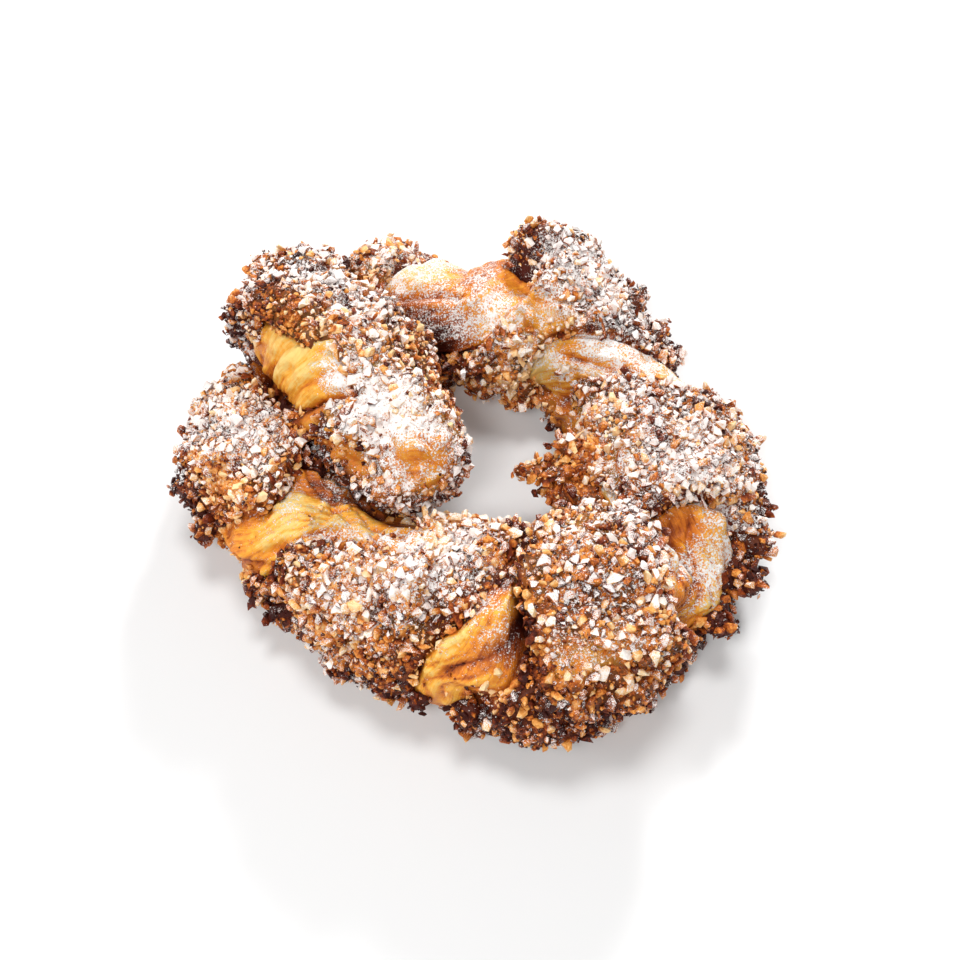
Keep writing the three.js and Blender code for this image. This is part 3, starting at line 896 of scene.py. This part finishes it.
# A tree that scatters small shapes over the given pieces, denser where an attribute says.
def scatterTree(name, sources, densityName, material):
    tree = bpy.data.node_groups.new(name, "GeometryNodeTree")
    sockets = {
        "Geometry": "Geometry", "Spacing": "Float", "Smallest": "Float", "Largest": "Float",
        "Stand Out": "Float", "Least Up": "Float", "Most Up": "Float", "Least Lean": "Vector",
        "Most Lean": "Vector", "Seed": "Int", "Shapes": "Collection",
    }
    for socketName, kind in sockets.items():
        tree.interface.new_socket(socketName, in_out="INPUT", socket_type="NodeSocket" + kind)
    tree.interface.new_socket("Geometry", in_out="OUTPUT", socket_type="NodeSocketGeometry")

    def add(kind, inputs, **settings):
        node = tree.nodes.new(kind)
        for key, value in settings.items():
            setattr(node, key, value)
        for key, value in inputs.items():
            socket = node.inputs[key]
            if isinstance(value, bpy.types.NodeSocket):
                tree.links.new(value, socket)
            else:
                socket.default_value = value
        return node

    def draw(least, most, seed):
        inputs = {2: least, 3: most, "Seed": seed}
        return add("FunctionNodeRandomValue", inputs, data_type="FLOAT").outputs[1]

    def product(first, second):
        return add("ShaderNodeMath", {0: first, 1: second}, operation="MULTIPLY").outputs[0]

    given = add("NodeGroupInput", {}).outputs
    joined = add("GeometryNodeJoinGeometry", {})
    for source in sources:
        held = add("GeometryNodeObjectInfo", {"Object": source})
        tree.links.new(held.outputs["Geometry"], joined.inputs["Geometry"])
    share = add("GeometryNodeInputNamedAttribute", {"Name": densityName}, data_type="FLOAT")
    normal = add("GeometryNodeInputNormal", {})
    height = add("ShaderNodeSeparateXYZ", {0: normal.outputs[0]})
    lying = add(
        "ShaderNodeMapRange",
        {"Value": height.outputs["Z"], "From Min": given["Least Up"], "From Max": given["Most Up"]},
    )
    factor = product(share.outputs["Attribute"], lying.outputs[0])
    spread = add(
        "GeometryNodeDistributePointsOnFaces",
        {
            "Mesh": joined.outputs[0], "Distance Min": given["Spacing"],
            "Density Max": scatter["densest"], "Density Factor": factor,
            "Seed": given["Seed"],
        },
        distribute_method="POISSON",
    )
    spin = add(
        "FunctionNodeRandomValue",
        {0: given["Least Lean"], 1: given["Most Lean"], "Seed": scatter["leanSeed"]},
        data_type="FLOAT_VECTOR",
    )
    lean = add("FunctionNodeEulerToRotation", {0: spin.outputs["Value"]})
    spun = add(
        "FunctionNodeRotateRotation",
        {"Rotation": spread.outputs["Rotation"], "Rotate By": lean.outputs[0]},
        rotation_space="LOCAL",
    )
    chance = draw(0.0, 1.0, scatter["sizeSeed"])
    biased = add("ShaderNodeMath", {0: chance, 1: scatter["smallBias"]}, operation="POWER")
    size = add(
        "ShaderNodeMapRange",
        {"Value": biased.outputs[0], "To Min": given["Smallest"], "To Max": given["Largest"]},
    )
    shapes = add(
        "GeometryNodeCollectionInfo",
        {"Collection": given["Shapes"], "Separate Children": True, "Reset Children": True},
    )
    lift = draw(0.0, given["Stand Out"], scatter["liftSeed"])
    offset = add(
        "ShaderNodeVectorMath", {0: spread.outputs["Normal"], "Scale": lift}, operation="SCALE",
    )
    raised = add(
        "GeometryNodeSetPosition",
        {"Geometry": spread.outputs["Points"], "Offset": offset.outputs[0]},
    )
    placed = add(
        "GeometryNodeInstanceOnPoints",
        {
            "Points": raised.outputs[0], "Instance": shapes.outputs[0], "Pick Instance": True,
            "Rotation": spun.outputs[0], "Scale": size.outputs[0],
        },
    )
    tone = draw(0.0, 1.0, scatter["toneSeed"])
    toned = add(
        "GeometryNodeStoreNamedAttribute",
        {"Geometry": placed.outputs[0], "Name": "tone", "Value": tone},
        data_type="FLOAT", domain="INSTANCE",
    )
    real = add("GeometryNodeRealizeInstances", {"Geometry": toned.outputs[0]})
    near = add("GeometryNodeProximity", {0: joined.outputs[0]}, target_element="FACES")
    above = product(near.outputs["Distance"], 1 / mm)
    measured = add(
        "GeometryNodeStoreNamedAttribute",
        {"Geometry": real.outputs[0], "Name": "stand", "Value": above},
        data_type="FLOAT", domain="POINT",
    )
    coated = add("GeometryNodeSetMaterial", {"Geometry": measured.outputs[0], "Material": material})
    out = add("NodeGroupOutput", {})
    tree.links.new(coated.outputs[0], out.inputs[0])
    return tree


def scattered(name, sources, densityName, material, chip):
    tree = scatterTree(name + "Tree", sources, densityName, material)
    shapes = chipShapes(chip)
    lean = chip["lean"]
    values = {
        "Spacing": chip["spacing"] * mm,
        "Smallest": chip["sizes"][0] * mm,
        "Largest": chip["sizes"][1] * mm,
        "Stand Out": chip["standOut"] * mm,
        "Least Up": chip["up"][0],
        "Most Up": chip["up"][1],
        "Least Lean": (-lean, -lean, 0.0),
        "Most Lean": (lean, lean, 2 * math.pi),
        "Seed": chip["seed"],
        "Shapes": shapes,
    }
    piece = bpy.data.objects.new(name, bpy.data.meshes.new(name))
    bpy.context.scene.collection.objects.link(piece)
    modifier = piece.modifiers.new("scatter", "NODES")
    modifier.node_group = tree
    for item in tree.interface.items_tree:
        if item.in_out == "INPUT" and item.name in values:
            modifier[item.identifier] = values[item.name]
    graph = bpy.context.evaluated_depsgraph_get()
    mesh = bpy.data.meshes.new_from_object(piece.evaluated_get(graph), depsgraph=graph)
    piece.modifiers.clear()
    piece.data = mesh
    mesh.name = name
    for shape in list(shapes.objects):
        bpy.data.objects.remove(shape)
    bpy.data.collections.remove(shapes)
    print(f"{name}: {len(mesh.polygons)} faces")
    return piece


# Chips and grains: sizes in millimetres, leans in radians. "up" is how far a face looks up
# where the first ones stick to it and where it is fully covered.
everyWay = (-3.0, -2.0)  # sticks to every face
chunk = {
    "shape": "chunk", "kinds": 8, "corners": 12, "slimness": 1.0, "shapeSeed": 11,
    "spacing": 1.9, "sizes": (1.8, 5.0), "standOut": 1.2,
    "up": everyWay, "lean": 0.9, "seed": 11,
}
shard = {
    "shape": "shard", "kinds": 8, "corners": 12, "slimness": 0.7, "shapeSeed": 13,
    "spacing": 2.7, "sizes": (2.8, 6.4), "standOut": 1.8,
    "up": everyWay, "lean": 1.5, "seed": 20,
}
crumb = {
    "shape": "crumb", "kinds": 8, "corners": 6, "slimness": 1.0, "shapeSeed": 12,
    "spacing": 1.05, "sizes": (0.9, 2.2), "standOut": 0.7,
    "up": everyWay, "lean": 0.9, "seed": 16,
}
grain = {
    "shape": "grain", "kinds": 6, "corners": 6, "slimness": 1.0, "shapeSeed": 23,
    "spacing": 1.3, "sizes": (0.25, 0.6), "standOut": 0.15,
    "up": (0.15, 0.9), "lean": 0.9, "seed": 23,
}

print("nuts: chopping and scattering")
bases = [ringDough, freeDough, crustScraps]
doughLook = doughMaterial()
for piece in bases:
    piece.data.materials.append(doughLook)
nutLook, rimLook = nutMaterial("choppedNut"), nutMaterial("toastedNut")
nutChunks = scattered("nutChunks", bases, "nutDensity", nutLook, chunk)
nutShards = scattered("nutShards", bases, "rim", rimLook, shard)
nutCrumbs = scattered("nutCrumbs", bases, "nutDensity", nutLook, crumb)

print("sugar: dusting")
sugarLook, shade = newMaterial("powderedSugar")
finishMaterial(shade, {"Specular IOR Level": 0.2, "Roughness": 0.9}, {
    "Base Color": (*looks["sugar"], 1),
})
sugarGrains = scattered("sugarGrains", [*bases, nutChunks, nutShards], "dust", sugarLook, grain)

for piece in (ringDough, freeDough, crustScraps, nutChunks, nutShards, nutCrumbs, sugarGrains):
    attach(piece, "root")
    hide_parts("twisted_pastry")

print("studio: floor, light and camera")
studio = {
    "worldStrength": 0.24,
    "backdrop": 0.585,
    "lights": [
        # name, kind, place, power, size in metres or, for the far light, in radians
        ("overheadLight", "SUN", (0.0, 0.1, 0.8), 1.45, 0.3),
        ("backLight", "AREA", (0.22, 0.72, 0.5), 6.2, 0.14),
        ("frontLight", "AREA", (-0.12, -0.5, 0.78), 3.5, 0.16),
        ("leftLight", "AREA", (-0.75, -0.15, 0.38), 1.9, 0.25),
    ],
    "floorReach": 3,
    "floorWhite": 0.68,
    "floorGlow": 0.12,
    "cameraTilt": 57,
    "cameraDistance": 0.43,
    "lens": 62,
    "aim": (0, 0, 20),
}
floorMesh = bpy.data.meshes.new("floor")
far = studio["floorReach"]
floorCorners = [(-far, -far, 0), (far, -far, 0), (far, far, 0), (-far, far, 0)]
floorMesh.from_pydata(floorCorners, [], [(0, 1, 2, 3)])
floor = bpy.data.objects.new("floor", floorMesh)
bpy.context.scene.collection.objects.link(floor)
floorMaterial, shade = newMaterial("paleFloor")
white = studio["floorWhite"]
finishMaterial(shade, {"Specular IOR Level": 0.1, "Roughness": 0.8}, {
    "Base Color": (white, white, white, 1),
    "Emission Color": (1, 1, 1, 1),
    "Emission Strength": studio["floorGlow"],
})
floorMesh.materials.append(floorMaterial)

camera = bpy.data.objects.new("camera", bpy.data.cameras.new("camera"))
camera.data.lens = studio["lens"]
bpy.context.scene.collection.objects.link(camera)
tilt = math.radians(studio["cameraTilt"])
aim = Vector((np.array(studio["aim"]) + ropeShift) * mm)
camera.location = aim + Vector((0, -math.cos(tilt), math.sin(tilt))) * studio["cameraDistance"]
camera.rotation_euler = (math.pi / 2 - tilt, 0, 0)
camera.data.clip_start = 0.01
bpy.context.scene.camera = camera

world = bpy.data.worlds.new("studio")
bpy.context.scene.world = world
world.use_nodes = True
background = world.node_tree.nodes["Background"]
background.inputs["Color"].default_value = (1, 1, 1, 1)
# the backdrop looks as pale as the floor's far end, and lights the pastry less than it shows
shade = Shade(world.node_tree)
seen = shade.node("ShaderNodeLightPath", {}, {}, "Is Camera Ray")
strength = seen * (studio["backdrop"] - studio["worldStrength"]) + studio["worldStrength"]
world.node_tree.links.new(strength.socket, background.inputs["Strength"])
for name, kind, place, power, size in studio["lights"]:
    lamp = bpy.data.objects.new(name, bpy.data.lights.new(name, kind))
    lamp.data.energy = power
    setattr(lamp.data, "angle" if kind == "SUN" else "size", size)
    lamp.location = place
    lamp.rotation_euler = (-Vector(place)).to_track_quat("-Z", "Y").to_euler()
    bpy.context.scene.collection.objects.link(lamp)
bpy.context.scene.view_settings.view_transform = "Standard"
